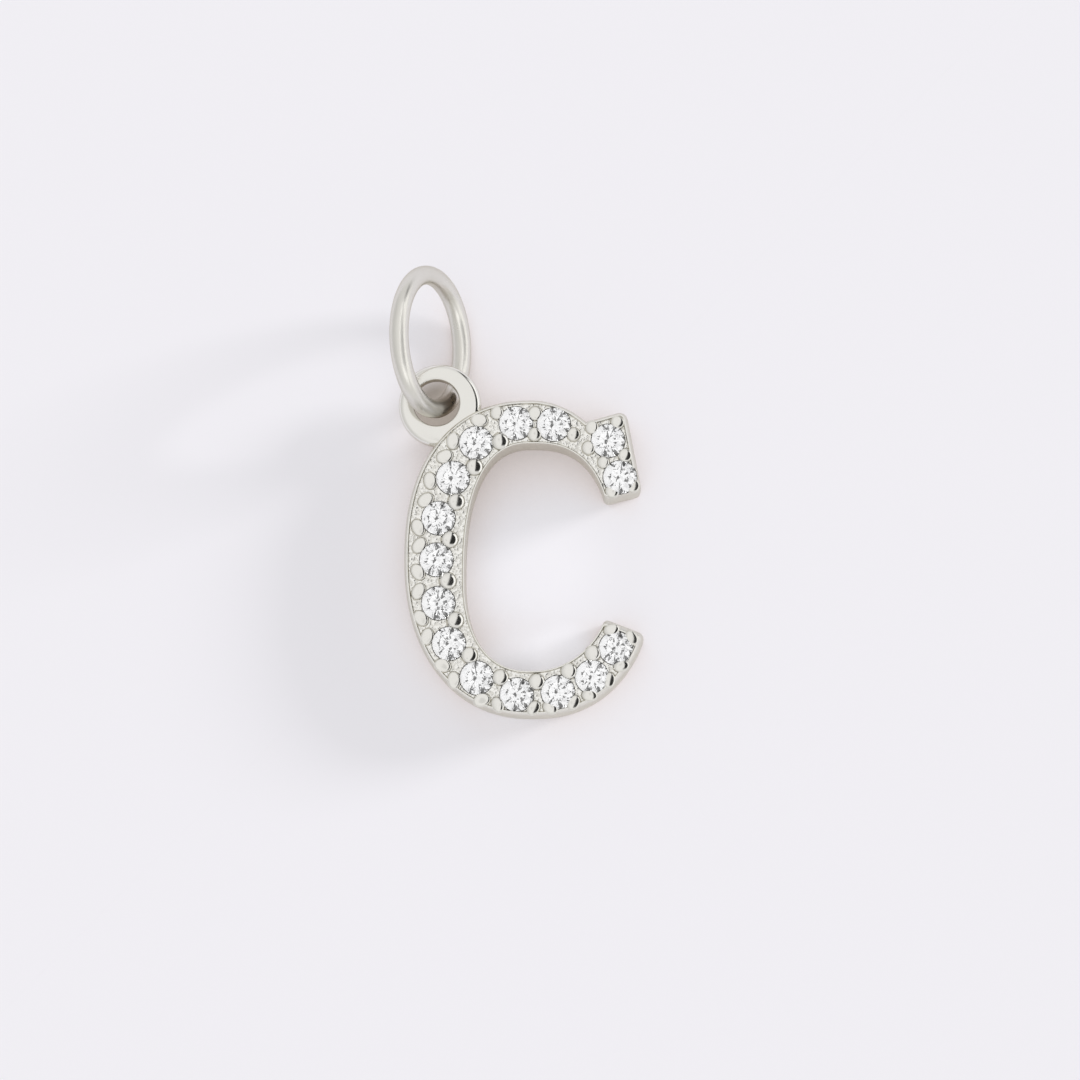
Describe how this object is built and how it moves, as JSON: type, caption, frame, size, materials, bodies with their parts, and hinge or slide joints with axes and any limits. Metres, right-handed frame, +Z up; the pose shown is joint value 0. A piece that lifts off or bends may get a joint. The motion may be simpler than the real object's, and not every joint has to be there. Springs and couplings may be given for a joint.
{
  "type": "initial pendant",
  "caption": "Letter C pendant with a row of round stones held by beads in a flat-backed cast letter, hung by a cast eyelet and a closed jump ring.",
  "frame": {"origin": "middle of the underside of the whole charm as it lies on a surface", "axes": "+X across the letter to its open side, +Y towards the top of the letter and its jump ring, +Z up out of the stone-set face"},
  "size_m": [0.0082, 0.0148, 0.0046],
  "materials": {
    "setting_metal": "polished rim and beads, fine-grained field",
    "ring_metal": "polished",
    "stone": "polished facets"
  },
  "bodies": {
    "root": {"letter_setting": "setting_metal", "jump_ring": "ring_metal", "stone_01": "stone", "stone_02": "stone", "stone_03": "stone", "stone_04": "stone", "stone_05": "stone", "stone_06": "stone", "stone_07": "stone", "stone_08": "stone", "stone_09": "stone", "stone_10": "stone", "stone_11": "stone", "stone_12": "stone", "stone_13": "stone", "stone_14": "stone", "stone_15": "stone"}
  },
  "joints": []
}
